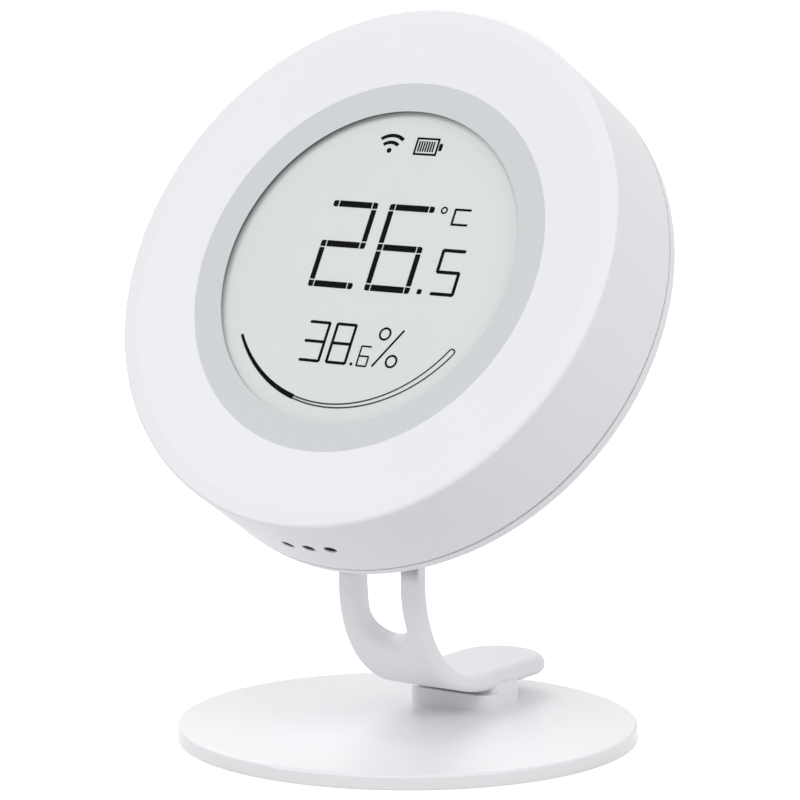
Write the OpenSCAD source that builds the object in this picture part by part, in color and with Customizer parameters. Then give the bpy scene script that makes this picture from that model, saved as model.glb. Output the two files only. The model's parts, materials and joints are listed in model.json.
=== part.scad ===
// Temperature and humidity sensor with a round display head, on a forked tilting stand.
// Millimetres, +Z up, the display faces -Y. The origin is the centre of the base on the table.

/* [Head] */
// Outer diameter of the round head
head_d = 78; // [78:1:90]
// Wall of the head's shells at the side
wall_t = 2; // [1.6:0.1:2.4]
// Slope of the dished front ring in degrees
dish_angle = 5; // [3:0.5:9]
// Width of the flat band round the front ring
rim_band = 2.3; // [1.6:0.1:3]
// Round on the front edge
rim_round = 0.4; // [0.2:0.1:0.8]
// Draft of the side wall, from the seam to the front edge
wall_draft = 0.3; // [0:0.05:0.4]
// Round on the rear edge
rear_round = 1.2; // [0.4:0.1:1.6]
// Tilt of the head back from upright in degrees
head_tilt = 30; // [10:1:45]
// Height of the rear cover's rim
cover_rim_h = 2.2; // [2.1:0.1:3]
// Thickness of the rear cover's plate
cover_t = 2; // [1.6:0.1:2.1]
// Shadow gap between the two shells
seam_gap = 0.35; // [0.1:0.05:0.4]
// Height of the spigot that locates the rear cover
spigot_h = 2.7; // [1.5:0.1:4]
// Wall of the spigot
spigot_t = 1.8; // [1.2:0.1:2.4]

/* [Vents] */
// Diameter of a vent hole
vent_d = 1.9; // [1:0.1:2.6]
// Angle between neighbouring vent holes
vent_step = 5.2; // [4.5:0.1:7]
// Number of vent holes
vent_count = 3; // [1:1:5]
// Depth of the vent holes behind the display plane
vent_depth = 6.9; // [6:0.1:8]

/* [Display] */
// Diameter of the clear lens
lens_d = 54.7; // [50:0.1:57]
// Thickness of the lens
lens_t = 0.5; // [0.4:0.1:1]
// Diameter of the window in the grey mask
window_d = 46.6; // [42:0.1:49]
// Thickness of the mask
mask_t = 0.1; // [0.1:0.05:0.3]
// Thickness of the foam gasket
gasket_t = 0.4; // [0.3:0.1:1]
// Undercut of the gasket behind the mask's edge
gasket_undercut = 0.3; // [0:0.1:0.6]
// Thickness of the LCD
lcd_t = 1.5; // [1.2:0.1:2.4]
// Thickness of the LCD carrier's plate
carrier_t = 1; // [0.8:0.1:1.6]
// Width of the ledge that carries the lens
ledge_w = 1.6; // [1.2:0.1:2]
// Thickness of the ledge
ledge_t = 1.3; // [1.1:0.1:1.5]
// Length of the elastomer connector
zebra_l = 34; // [20:1:36]
// Width of the elastomer connector
zebra_w = 1.8; // [1.2:0.1:2.5]

/* [Board] */
// Thickness of the circuit board
board_t = 1; // [0.8:0.1:1.6]
// Half width of the board's tab at the vents
tab_half_w = 7.2; // [6:0.1:8]
// Edge of the tact switch's square body
switch_w = 6; // [5:0.1:7]
// Height of the tact switch's body
switch_h = 3.4; // [2.5:0.1:4]
// Diameter of the switch's plunger
plunger_d = 3.2; // [2:0.1:3.6]
// Wall of the soft sensor duct
duct_t = 1.2; // [0.8:0.1:1.6]

/* [Button] */
// Diameter of the rear button
button_d = 6.4; // [5:0.1:8]
// How far the button stands proud of the rear face
button_proud = 0.4; // [0.2:0.1:0.8]
// Travel of the button
button_travel = 0.4; // [0.2:0.05:0.5]
// Place of the button to the right of the head's axis
button_x = 17; // [14:0.5:18]
// Place of the button below the head's axis
button_drop = 13; // [11:0.5:15]

/* [Battery] */
// Diameter of an AAA cell
cell_d = 10.5; // [10.5:0.1:11]
// Length of an AAA cell with its nub
cell_l = 44.5; // [43.5:0.1:45]
// Distance between the axes of the two cells
cell_pitch = 11.2; // [11.1:0.1:11.6]
// Gap between the battery bay's top corners and the shell
bay_corner_gap = 0.65; // [0.4:0.05:1]
// Space for a contact at each end of the cells
contact_space = 2.6; // [2:0.1:2.8]
// Sheet thickness of the contacts
contact_t = 0.4; // [0.3:0.05:0.5]
// Wall of the battery bay
bay_wall = 1.2; // [0.8:0.1:1.4]
// Floor of the battery bay
bay_floor_t = 0.75; // [0.6:0.05:1.2]
// Thickness of the battery door
door_t = 1.4; // [1.2:0.1:1.6]
// Gap round the battery door
door_gap = 0.3; // [0.2:0.05:0.5]
// Diameter of a battery lead
lead_d = 1.1; // [0.8:0.1:1.2]

/* [Hinge] */
// Diameter of the tilt pin
pin_d = 2.5; // [2:0.1:3]
// Distance from the head's axis down to the tilt pin
hinge_drop = 27.3; // [26:0.1:30]
// Distance of the tilt pin behind the rear face
hinge_gap = 3.8; // [3.6:0.1:5]
// Radius of the fork's eyes
eye_r = 3; // [2.6:0.1:3.2]
// Radius of the rear cover's lug
lug_r = 3.1; // [2.6:0.1:3.4]
// Thickness of a friction washer
washer_t = 0.3; // [0.2:0.05:0.5]

/* [Bracket] */
// Width of the bracket's strip
strip_w = 13.6; // [12:0.1:16]
// Thickness of the strip
strip_t = 2.6; // [2.4:0.1:3.2]
// Width of the slot between the two legs
slot_w = 7.2; // [6:0.1:8]
// Round on the strip's edges
strip_round = 1.1; // [0.4:0.1:1.1]
// Distance of the legs in front of the base's centre
leg_front = 6.1; // [4:0.1:8]
// Height of the tilt pin above the base
hinge_rise = 31.4; // [29.5:0.1:38]
// Mean radius of the J bend
bend_r = 14.9; // [13:0.1:15.5]
// Arc from the start of the bend to the slot's round end in degrees
slot_angle = 17; // [6:0.5:24]
// Length of the straight stretch after the bend
run_l = 4; // [2:0.1:5]
// Mean radius of the bend into the tongue
heel_r = 12; // [8:0.5:16]
// Distance from the base's centre back to the centre of the tongue's round end
tongue_y = 22.2; // [18:0.1:24]

/* [Base] */
// Diameter of the base
base_d = 64.4; // [60:0.2:80]
// Thickness of the base
base_t = 2; // [1.8:0.1:4]
// Round on the base's top edge
base_round = 0.4; // [0.2:0.1:0.8]
// Thickness of the non-slip pad
pad_t = 0.6; // [0.5:0.05:0.8]
// How far the pad stands below the base
pad_proud = 0.15; // [0.1:0.05:0.4]
// Width of the rim round the pad
pad_rim = 4.2; // [3:0.1:8]
// Width of the socket block
socket_w = 14.4; // [14:0.1:18]
// Depth of the socket block
socket_l = 7.8; // [7:0.1:9]
// Corner radius of the socket block
socket_r = 2; // [1.2:0.1:3.4]
// Distance from the base's centre back to the socket's middle
socket_y = 13.9; // [13.6:0.1:16]
// Height of the socket block's front
socket_h = 2.4; // [2.2:0.1:3]
// Width of the bracket's peg in the socket
peg_w = 8; // [7:0.1:8.4]
// Depth of the bracket's peg in the socket
peg_l = 4.2; // [3.6:0.1:4.6]

/* [Hidden] */
$fn = 96;

// Clearances
fit_gap = 0.05;
slack = 0.15;
seat_gap = 0.1;
thread_gap = 0.02;
air_gap = 0.2;
past = 1;

// Levels of the stand, from the table up
base_z1 = pad_proud + base_t;
socket_z1 = base_z1 + socket_h;
hinge_z = base_z1 + hinge_rise;

// Levels in the head, from the rear face at zero towards the display
cell_z0 = door_t + air_gap;
cell_z = cell_z0 + cell_d / 2;
floor_z0 = cell_z0 + cell_d + seat_gap;
floor_z1 = floor_z0 + bay_floor_t;
carrier_z0 = floor_z1 + fit_gap;
lcd_z0 = carrier_z0 + carrier_t;
gasket_z0 = lcd_z0 + lcd_t;
mask_z0 = gasket_z0 + gasket_t;
lens_z0 = mask_z0 + mask_t;
display_z = lens_z0 + lens_t;
board_z0 = carrier_z0 - board_t;
ledge_z0 = mask_z0 - ledge_t;
housing_z0 = cover_rim_h + seam_gap;

// Radii in the head
head_r = head_d / 2;
inner_r = head_r - wall_t;
lens_r = lens_d / 2;
opening_r = lens_r + slack;
ledge_r = opening_r - ledge_w;
lcd_gap = 0.3;
lcd_r = ledge_r - lcd_gap;
zebra_share = 0.7;
zebra_y = -lcd_r * zebra_share;
window_r = window_d / 2;
carrier_rim_t = 1.1;
carrier_r = lcd_r + slack + carrier_rim_t;
front_r = head_r - wall_draft;
band_r = front_r - rim_band;
band_z = display_z + (band_r - opening_r) * tan(dish_angle);
edge_r = front_r - rim_round;
edge_z = band_z - rim_round;
spigot_r = inner_r - slack;

// Screws that hold the display and the board
display_screw_r = 0.85;
display_head_r = 1.5;
display_head_h = 1.1;
ear_t = 1.2;
ear_z1 = carrier_z0 + ear_t;
ear_boss_r = 2;
ear_r = carrier_r + ear_boss_r + slack;
ear_boss_h = 0.9;
ear_angles = [90, 200, 340];

// Screws that hold the two shells
case_screw_r = 1;
case_head_r = 1.9;
case_head_h = 1.6;
case_boss_r = 2.6;
case_angles = [62, 118, 225, 315];
boss_inset = 0.5;
case_r = inner_r - case_boss_r - boss_inset;
seat_step = 0.4;
case_seat_z = cover_t + seat_step;
post_h = 3.2;
post_z = cover_t + post_h;
boss_bury = 0.5;
case_boss_z1 = ledge_z0 + (case_r - opening_r) * tan(dish_angle) + boss_bury;
boss_roof = 3;
case_tip = case_boss_z1 - boss_roof;
tip_space = 0.3;

// Battery bay, as high as the shell and the upper ear of the display allow
bay_slack = 0.4;
bay_x = cell_l / 2 + contact_space;
shell_limit = sqrt(pow(inner_r - bay_corner_gap, 2) - pow(bay_x + bay_wall, 2));
ear_limit = ear_r - ear_boss_r - air_gap;
bay_y1 = min(shell_limit, ear_limit) - bay_wall;
cell_top = bay_y1 - bay_slack - cell_d / 2;
cell_y = [cell_top - cell_pitch, cell_top];
bay_y0 = cell_y[0] - cell_d / 2 - bay_slack;

// Board, sensor and switch
board_r = ear_r + ear_boss_r;
board_gap = 0.25;
board_top = bay_y0 - bay_wall - board_gap;
tab_inset = 1.4;
tab_l = inner_r - tab_inset;
vent_z = display_z - vent_depth;
sensor_w = 2.6;
sensor_h = 0.9;
port_d = 1;
sensor_inset = 3;
sensor_y = -tab_l + sensor_inset;
mesh_t = 0.22;
mesh_margin = 0.8;
mesh_h = vent_d + 2 * mesh_margin;
mesh_spare = 4;
mesh_angle = vent_step * vent_count + mesh_spare;
mesh_r = inner_r - fit_gap;
duct_r = mesh_r - mesh_t - fit_gap;
duct_inset = 0.7;
duct_half_w = tab_half_w - duct_inset;
duct_z0 = vent_z - vent_d / 2 - duct_t - air_gap;
duct_l = 9;
duct_top = -tab_l + duct_l;
button_y = -button_drop;
radio_w = 16;
radio_l = 13;
radio_t = 0.8;
can_w = 14;
can_l = 11;
can_t = 1.6;
chip_w = 7;
chip_t = 0.9;
chip_x = 2;
chip_gap = 0.5;
radio_x = chip_x - (chip_w + radio_w) / 2 - chip_gap;
switch_z0 = board_z0 - switch_h;
plunger_out = 0.8;
plunger_z0 = switch_z0 - plunger_out;
plunger_in = 1;
button_r = button_d / 2;
button_gap = 0.25;
flange_w = 1;
flange_r = button_r + flange_w;
flange_z0 = cover_t + air_gap;
flange_t = 0.8;
stem_r = plunger_d / 2 - seat_gap;

// Contacts, leads and door
nub_r = 1.9;
nub_l = 1.2;
cell_r = cell_d / 2;
contact_x = bay_x - fit_gap - contact_t;
contact_w = 8;
contact_h = 8.4;
tail_w = 3;
tail_rise = 3.1;
tail_z = cell_z + tail_rise;
door_pivot_y = bay_y0 + door_gap + door_t / 2;
door_x = bay_x - door_gap;
door_y1 = bay_y1 - door_gap;
trunnion_r = 0.5;
trunnion_l = 1;
lead_r = lead_d / 2;
lead_z = tail_z + contact_t + lead_r;
lead_bite = 1;
lead_end_y = board_top - lead_bite;
lead_out = 0.9;
lead_step = 1.3;
lead_x0 = bay_x + bay_wall + lead_out;
lead_x = [lead_x0, lead_x0 + lead_step];

// Tilt hinge
hinge_y = -leg_front;
leg_w = (strip_w - slot_w) / 2;
lug_half_w = slot_w / 2 - washer_t - 2 * fit_gap;
lug_foot = 1.5;
pin_inset = 0.2;
pin_l = strip_w - 2 * pin_inset;

// Bracket
bend_y = hinge_y + bend_r;
bend_cos = 0.28;
bend_angle = acos(bend_cos);
heel_turn = 90 - bend_angle;
bend_z = socket_z1 + seat_gap + strip_t / 2 + heel_r * (1 - cos(heel_turn)) + run_l * sin(heel_turn)
    + bend_r * sin(bend_angle);
heel_y = bend_y - bend_r * cos(bend_angle) + run_l * cos(heel_turn) + heel_r * sin(heel_turn);
tongue_l = tongue_y - heel_y;

// Base
base_r = base_d / 2;
pad_r = base_r - pad_rim;
recess_z1 = pad_t;
base_screw_x = 5.75;
base_screw_r = 0.8;
base_head_r = 1.6;
base_screw_tip = 1.6;
bracket_screw_r = 1.25;
bracket_head_r = 2.3;
head_cone_h = 1;
bracket_screw_tip = 3.6;

// Places children in the head's own frame: rear face at zero, +Z towards the viewer
module head() {
    translate([0, hinge_y, hinge_z]) rotate([90 - head_tilt, 0, 0])
        translate([0, hinge_drop, hinge_gap]) children();
}

// Turns a drawing of (y, z) so that its extrusion runs along X
module side() {
    rotate([90, 0, 90]) children();
}

// Ring of rectangular section
module ring(outer, inner, h) {
    difference() {
        cylinder(r = outer, h = h);
        translate([0, 0, -past]) cylinder(r = inner, h = h + 2 * past);
    }
}

// Rectangle with round corners, centred
module rounded(w, h, r) {
    square([w - 2 * r, h], center = true);
    square([w, h - 2 * r], center = true);
    for (x = [-1, 1], y = [-1, 1])
        translate([x * (w / 2 - r), y * (h / 2 - r)]) circle(r);
}

// Pan head screw that points along +Z, with its seat at zero
module pan_screw(shank_r, shank_l, head_r, head_h) {
    cylinder(r = shank_r, h = shank_l);
    difference() {
        translate([0, 0, -head_h]) cylinder(r = head_r, h = head_h);
        translate([0, 0, -head_h - past]) cylinder(r = head_r / 2, h = past + head_h / 2, $fn = 6);
    }
}

// Countersunk screw that points along +Z, with its head's face at zero
module flat_screw(shank_r, length, head_r) {
    difference() {
        union() {
            cylinder(r = shank_r, h = length);
            cylinder(r1 = head_r, r2 = shank_r, h = head_cone_h);
        }
        translate([0, 0, -past]) cylinder(r = head_r / 2, h = past + head_cone_h / 2, $fn = 6);
    }
}

// Repeats children round the head's axis
module around(angles, radius) {
    for (a = angles) rotate(a) translate([radius, 0, 0]) children();
}

// Stand

module foot_pad() {
    color("dimgray") cylinder(r = pad_r, h = pad_t);
}

module base_plate() {
    color("white") difference() {
        rotate_extrude() base_profile();
        translate([0, 0, -past]) cylinder(r = pad_r + slack, h = recess_z1 + past);
        for (x = [-1, 1]) translate([x * base_screw_x, socket_y, recess_z1])
            countersink(base_screw_r, base_head_r);
        translate([0, socket_y, recess_z1]) countersink(bracket_screw_r, bracket_head_r);
    }
}

module base_profile() {
    translate([0, pad_proud]) square([base_r, base_t - base_round]);
    translate([0, pad_proud]) square([base_r - base_round, base_t]);
    translate([base_r - base_round, base_z1 - base_round]) circle(base_round);
}

module countersink(shank_r, head_r) {
    translate([0, 0, -past]) cylinder(r = shank_r + fit_gap, h = base_t + 2 * past);
    cylinder(r1 = head_r + fit_gap, r2 = shank_r + fit_gap, h = head_cone_h);
    translate([0, 0, -past]) cylinder(r = head_r + fit_gap, h = past);
}

module base_socket() {
    color("white") difference() {
        translate([0, socket_y, base_z1]) linear_extrude(socket_h) rounded(socket_w, socket_l, socket_r);
        translate([-peg_w / 2 - slack, socket_y - peg_l / 2 - slack, base_z1 - past])
            cube([peg_w + 2 * slack, peg_l + 2 * slack, socket_h + 2 * past]);
        for (x = [-1, 1]) translate([x * base_screw_x, socket_y, base_z1 - past])
            cylinder(r = base_screw_r + thread_gap, h = base_screw_tip + past + air_gap);
    }
}

module base_screws() {
    color("silver") for (x = [-1, 1]) translate([x * base_screw_x, socket_y, recess_z1])
        flat_screw(base_screw_r, base_z1 - recess_z1 + base_screw_tip, base_head_r);
}

// Section of the strip
module strip_section() {
    rounded(strip_w, strip_t, strip_round);
}

// Straight stretch of the strip, from zero down
module strip_run(length) {
    translate([0, 0, -length]) linear_extrude(length) strip_section();
}

// Stretch of the strip that runs down from zero and bends towards +Y, cut off square at its end
module strip_bend(r, turn) {
    difference() {
        side() translate([r, 0, 0]) rotate(180) rotate_extrude(angle = 90)
            translate([r, 0]) rotate(90) strip_section();
        after_bend(r, turn) translate([-strip_w, -r, -2 * r]) cube([2 * strip_w, 3 * r, 2 * r]);
    }
}

// Places children at the end of such a bend, so that down is onwards
module after_bend(r, turn) {
    translate([0, r, 0]) rotate([turn, 0, 0]) translate([0, -r, 0]) children();
}

// Full round end of the tongue, centred at zero
module tongue_end() {
    rotate([90, 0, 0]) rotate_extrude() intersection() {
        strip_section();
        translate([0, -strip_t]) square([strip_w, 2 * strip_t]);
    }
}

module bracket() {
    color("white") difference() {
        union() {
            translate([0, hinge_y, bend_z]) {
                difference() {
                    union() {
                        linear_extrude(hinge_z - bend_z) strip_section();
                        strip_bend(bend_r, bend_angle);
                    }
                    slot();
                }
                after_bend(bend_r, bend_angle) {
                    strip_run(run_l);
                    translate([0, 0, -run_l]) {
                        strip_bend(heel_r, heel_turn);
                        after_bend(heel_r, heel_turn) {
                            strip_run(tongue_l);
                            translate([0, 0, -tongue_l]) tongue_end();
                        }
                    }
                }
            }
            for (x = [-strip_w / 2, slot_w / 2])
                translate([x, hinge_y, hinge_z]) rotate([0, 90, 0]) cylinder(r = eye_r, h = leg_w);
            peg();
        }
        translate([-strip_w, hinge_y, hinge_z]) rotate([0, 90, 0]) cylinder(r = pin_d / 2, h = 2 * strip_w);
        translate([0, socket_y, 0])
            cylinder(r = bracket_screw_r + thread_gap, h = base_z1 + bracket_screw_tip + air_gap);
    }
}

// Slot between the legs, which follows the bend to its round end
module slot() {
    translate([-slot_w / 2, -strip_t, 0]) cube([slot_w, 2 * strip_t, hinge_z]);
    side() translate([bend_r, 0, 0]) rotate(180) {
        rotate_extrude(angle = slot_angle) translate([bend_r - strip_t, -slot_w / 2])
            square([2 * strip_t, slot_w]);
        rotate(slot_angle) translate([bend_r - strip_t, 0, 0]) rotate([0, 90, 0])
            cylinder(d = slot_w, h = 2 * strip_t);
    }
}

// Peg under the strip that stands in the socket
module peg() {
    translate([-peg_w / 2, socket_y - peg_l / 2, base_z1 + seat_gap])
        cube([peg_w, peg_l, socket_z1 - base_z1 + strip_t / 2]);
}

module bracket_screw() {
    color("silver") translate([0, socket_y, recess_z1])
        flat_screw(bracket_screw_r, base_z1 - recess_z1 + bracket_screw_tip, bracket_head_r);
}

module tilt_pin() {
    color("silver") translate([-pin_l / 2, hinge_y, hinge_z]) rotate([0, 90, 0])
        cylinder(d = pin_d, h = pin_l);
}

module friction_washers() {
    color("gold") for (x = [-slot_w / 2 + fit_gap, slot_w / 2 - fit_gap - washer_t])
        translate([x, hinge_y, hinge_z]) rotate([0, 90, 0])
            ring(eye_r - air_gap, pin_d / 2 + fit_gap, washer_t);
}

// Head shells

module front_housing() {
    color("white") head() difference() {
        union() {
            rotate_extrude() housing_profile();
            around(case_angles, case_r) translate([0, 0, post_z + seat_gap])
                cylinder(r = case_boss_r, h = case_boss_z1 - post_z - seat_gap);
            around(ear_angles, ear_r) translate([0, 0, ear_z1]) cylinder(r = ear_boss_r, h = ear_boss_h);
        }
        around(case_angles, case_r) cylinder(r = case_screw_r + thread_gap, h = case_tip + tip_space);
        around(ear_angles, ear_r)
            cylinder(r = display_screw_r + thread_gap, h = ear_z1 + ear_boss_h + tip_space);
        for (i = [0 : vent_count - 1])
            rotate(-90 + (i - (vent_count - 1) / 2) * vent_step)
                translate([inner_r - past, 0, vent_z]) rotate([0, 90, 0])
                    cylinder(d = vent_d, h = wall_t + 2 * past);
    }
}

// Section of the front housing: side wall, flat band, sloping ring and the lens ledge
module housing_profile() {
    difference() {
        union() {
            translate([edge_r, edge_z]) circle(rim_round);
            polygon([
                [0, housing_z0],
                [head_r, housing_z0],
                [front_r, edge_z],
                [edge_r, edge_z],
                [edge_r, band_z],
                [band_r, band_z],
                [opening_r, display_z],
                [0, display_z]
            ]);
        }
        polygon([
            [0, -past],
            [inner_r, -past],
            [inner_r, ledge_z0 + (inner_r - opening_r) * tan(dish_angle)],
            [opening_r, ledge_z0],
            [0, ledge_z0]
        ]);
        square([ledge_r, 2 * display_z]);
        translate([0, mask_z0]) square([opening_r, display_z]);
    }
}

module rear_cover() {
    color("white") head() difference() {
        union() {
            rotate_extrude() cover_profile();
            translate([-bay_x - bay_wall, bay_y0 - bay_wall, cover_t / 2])
                cube([2 * (bay_x + bay_wall), bay_y1 - bay_y0 + 2 * bay_wall, floor_z1 - cover_t / 2]);
            around(case_angles, case_r) translate([0, 0, cover_t / 2])
                cylinder(r = case_boss_r, h = post_z - cover_t / 2);
            lug();
        }
        translate([-bay_x, bay_y0, -past]) cube([2 * bay_x, bay_y1 - bay_y0, floor_z0 + past]);
        around(case_angles, case_r) {
            translate([0, 0, -past]) cylinder(r = case_screw_r + seat_gap, h = post_z + 2 * past);
            translate([0, 0, -past]) cylinder(r = case_head_r + slack, h = case_seat_z + past);
        }
        translate([button_x, button_y, -past]) cylinder(r = button_r + button_gap, h = cover_t + 2 * past);
        translate([-door_x - trunnion_l, door_pivot_y, door_t / 2]) rotate([0, 90, 0])
            cylinder(r = trunnion_r + fit_gap, h = 2 * (door_x + trunnion_l));
        translate([0, -hinge_drop, -hinge_gap]) rotate([0, 90, 0])
            cylinder(r = pin_d / 2 + fit_gap, h = 2 * strip_w, center = true);
        for (y = cell_y) translate([bay_x - past, y - tail_w / 2 - slack, tail_z - slack])
            cube([bay_wall + 2 * past, tail_w + 2 * slack, contact_t + 2 * slack]);
        thumb_notch();
    }
}

// Shallow notch at the door's top edge, for a fingernail
module thumb_notch() {
    notch_w = 10;
    notch_l = 3;
    translate([-notch_w / 2, bay_y1 - past, -past]) cube([notch_w, notch_l + past, past + cover_t / 2]);
}

// Section of the rear cover: plate with a round edge, rim and spigot
module cover_profile() {
    spigot_in = spigot_r - spigot_t;
    square([head_r - rear_round, cover_t]);
    translate([head_r - rear_round, rear_round]) circle(rear_round);
    translate([spigot_in, rear_round]) square([head_r - spigot_in, cover_rim_h - rear_round]);
    translate([spigot_in, 0]) square([spigot_t, cover_rim_h + spigot_h]);
}

// Lug for the tilt pin, under the rear face
module lug() {
    side() translate([-hinge_drop, 0, -lug_half_w]) linear_extrude(2 * lug_half_w) {
        translate([0, -hinge_gap]) circle(lug_r);
        polygon([
            [-lug_r - lug_foot, cover_t / 2],
            [-lug_r - lug_foot, 0],
            [-lug_r, -hinge_gap],
            [lug_r, -hinge_gap],
            [lug_r + lug_foot, 0],
            [lug_r + lug_foot, cover_t / 2]
        ]);
    }
}

module case_screws() {
    color("silver") head() around(case_angles, case_r) translate([0, 0, case_seat_z])
        pan_screw(case_screw_r, case_tip - case_seat_z, case_head_r, case_head_h);
}

// Display

module display_lens() {
    color("white", 0.3) head() translate([0, 0, lens_z0]) cylinder(r = lens_r, h = lens_t);
}

module display_mask() {
    color("silver") head() translate([0, 0, mask_z0]) ring(lens_r, window_r, mask_t);
}

module display_gasket() {
    color("black") head() translate([0, 0, gasket_z0]) ring(lcd_r, window_r + gasket_undercut, gasket_t);
}

module lcd_panel() {
    color("gainsboro") head() translate([0, 0, lcd_z0]) cylinder(r = lcd_r, h = lcd_t);
}

module lcd_carrier() {
    color("whitesmoke") head() difference() {
        union() {
            translate([0, 0, carrier_z0]) cylinder(r = carrier_r, h = carrier_t);
            translate([0, 0, lcd_z0]) ring(carrier_r, lcd_r + slack, ledge_z0 - lcd_z0);
            for (a = ear_angles) rotate(a) carrier_ear(a == ear_angles[0] ? board_t : 0);
        }
        around(ear_angles, ear_r) cylinder(r = display_screw_r + fit_gap, h = 2 * display_z);
        translate([-zebra_l / 2 - slack, zebra_y - zebra_w / 2 - slack, carrier_z0 - past])
            cube([zebra_l + 2 * slack, zebra_w + 2 * slack, carrier_t + 2 * past]);
    }
}

// Ear of the carrier, thickened by extra where no board lies under it
module carrier_ear(extra) {
    translate([carrier_r - past, -ear_boss_r, carrier_z0])
        cube([ear_r - carrier_r + past, 2 * ear_boss_r, ear_t]);
    translate([ear_r, 0, carrier_z0 - extra]) cylinder(r = ear_boss_r, h = ear_t + extra);
}

module zebra_strip() {
    color("pink") head() translate([-zebra_l / 2, zebra_y - zebra_w / 2, carrier_z0])
        cube([zebra_l, zebra_w, carrier_t]);
}

module display_screws() {
    color("silver") head() around(ear_angles, ear_r) translate([0, 0, board_z0])
        pan_screw(display_screw_r, ear_z1 + ear_boss_h - board_z0, display_head_r, display_head_h);
}

// Electronics

module main_board() {
    color("seagreen") head() difference() {
        union() {
            intersection() {
                translate([0, 0, board_z0]) cylinder(r = board_r, h = board_t);
                translate([-board_r, board_top - 2 * board_r, board_z0 - past])
                    cube([2 * board_r, 2 * board_r, board_t + 2 * past]);
            }
            translate([-tab_half_w, -tab_l, board_z0]) cube([2 * tab_half_w, tab_l - board_r / 2, board_t]);
        }
        around(ear_angles, ear_r) cylinder(r = display_screw_r + fit_gap, h = 2 * display_z);
        around(case_angles, case_r) cylinder(r = case_boss_r + slack, h = 2 * display_z);
    }
}

module radio_module() {
    color("gray") head() translate([radio_x, button_y, board_z0]) {
        translate([-radio_w / 2, -radio_l / 2, -radio_t]) cube([radio_w, radio_l, radio_t]);
        translate([-can_w / 2, -can_l / 2, -radio_t - can_t]) cube([can_w, can_l, can_t]);
    }
}

module controller_chip() {
    color("black") head() translate([chip_x - chip_w / 2, button_y - chip_w / 2, board_z0 - chip_t])
        cube([chip_w, chip_w, chip_t]);
}

module sensor_chip() {
    color("dimgray") head() translate([-sensor_w / 2, sensor_y - sensor_w / 2, board_z0 - sensor_h])
        difference() {
            cube([sensor_w, sensor_w, sensor_h]);
            translate([sensor_w / 2, sensor_w / 2, -past]) cylinder(d = port_d, h = past + sensor_h / 2);
        }
}

// Soft boot between the vents and the sensor, open to both
module sensor_duct() {
    color("gray") head() intersection() {
        difference() {
            translate([-duct_half_w, -head_r, duct_z0])
                cube([2 * duct_half_w, head_r + duct_top, board_z0 - duct_z0]);
            translate([duct_t - duct_half_w, -head_r - past, duct_z0 + duct_t])
                cube([2 * (duct_half_w - duct_t), head_r + duct_top - duct_t + past, board_z0]);
        }
        cylinder(r = duct_r, h = display_z);
    }
}

module vent_mesh() {
    color("silver") head() translate([0, 0, vent_z - mesh_h / 2]) rotate(-90 - mesh_angle / 2)
        rotate_extrude(angle = mesh_angle) translate([mesh_r - mesh_t, 0]) square([mesh_t, mesh_h]);
}

module tact_switch() {
    color("dimgray") head() translate([button_x, button_y, switch_z0]) difference() {
        translate([-switch_w / 2, -switch_w / 2, 0]) cube([switch_w, switch_w, switch_h]);
        translate([0, 0, -past])
            cylinder(d = plunger_d + 2 * fit_gap, h = past + plunger_in + button_travel + air_gap);
    }
}

module switch_plunger() {
    color("black") head() translate([button_x, button_y, plunger_z0])
        cylinder(d = plunger_d, h = plunger_out + plunger_in);
}

module unit_button() {
    color("gainsboro") head() translate([button_x, button_y, 0]) {
        translate([0, 0, -button_proud]) cylinder(r = button_r, h = button_proud + flange_z0 + flange_t);
        translate([0, 0, flange_z0]) cylinder(r = flange_r, h = flange_t);
        cylinder(r = stem_r, h = plunger_z0 - seat_gap);
    }
}

// Battery

// One cell along X, with its nub towards +X
module cell() {
    rotate([0, 90, 0]) {
        translate([0, 0, -cell_l / 2]) cylinder(r = cell_r, h = cell_l - nub_l);
        cylinder(r = nub_r, h = cell_l / 2);
    }
}

module battery_cell_upper() {
    color("darkgray") head() translate([0, cell_y[1], cell_z]) cell();
}

module battery_cell_lower() {
    color("darkgray") head() translate([0, cell_y[0], cell_z]) rotate(180) cell();
}

// Sheet contact against the +X end wall, from height y0 to y1
module contact_plate(y0, y1) {
    translate([contact_x, y0, cell_z - contact_h / 2]) cube([contact_t, y1 - y0, contact_h]);
}

// Pressed dimple that meets a cell's nub
module contact_dimple(y) {
    translate([cell_l / 2 + fit_gap, y, cell_z]) rotate([0, 90, 0])
        cylinder(r = nub_r, h = contact_x - cell_l / 2);
}

// Folded leaf that presses on a cell's flat end
module contact_leaf(y) {
    reach = contact_x - cell_l / 2 - fit_gap;
    half = contact_w / 2 - contact_t;
    translate([contact_x, y, cell_z - contact_h / 4]) linear_extrude(contact_h / 2) polygon([
        [contact_t / 2, -half],
        [contact_t / 2, contact_t - half],
        [contact_t - reach, 0],
        [contact_t / 2, half - contact_t],
        [contact_t / 2, half],
        [-reach, contact_t / 2],
        [-reach, -contact_t / 2]
    ]);
}

// Solder tail through the bay's end wall, out to the lead's place
module contact_tail(y, x) {
    translate([contact_x, y - tail_w / 2, tail_z]) cube([x + lead_r - contact_x, tail_w, contact_t]);
}

module contact_positive() {
    color("silver") head() {
        contact_plate(cell_y[1] - contact_w / 2, cell_y[1] + contact_w / 2);
        contact_dimple(cell_y[1]);
        contact_tail(cell_y[1], lead_x[1]);
    }
}

module contact_negative() {
    color("silver") head() {
        contact_plate(cell_y[0] - contact_w / 2, cell_y[0] + contact_w / 2);
        contact_leaf(cell_y[0]);
        contact_tail(cell_y[0], lead_x[0]);
    }
}

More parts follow.
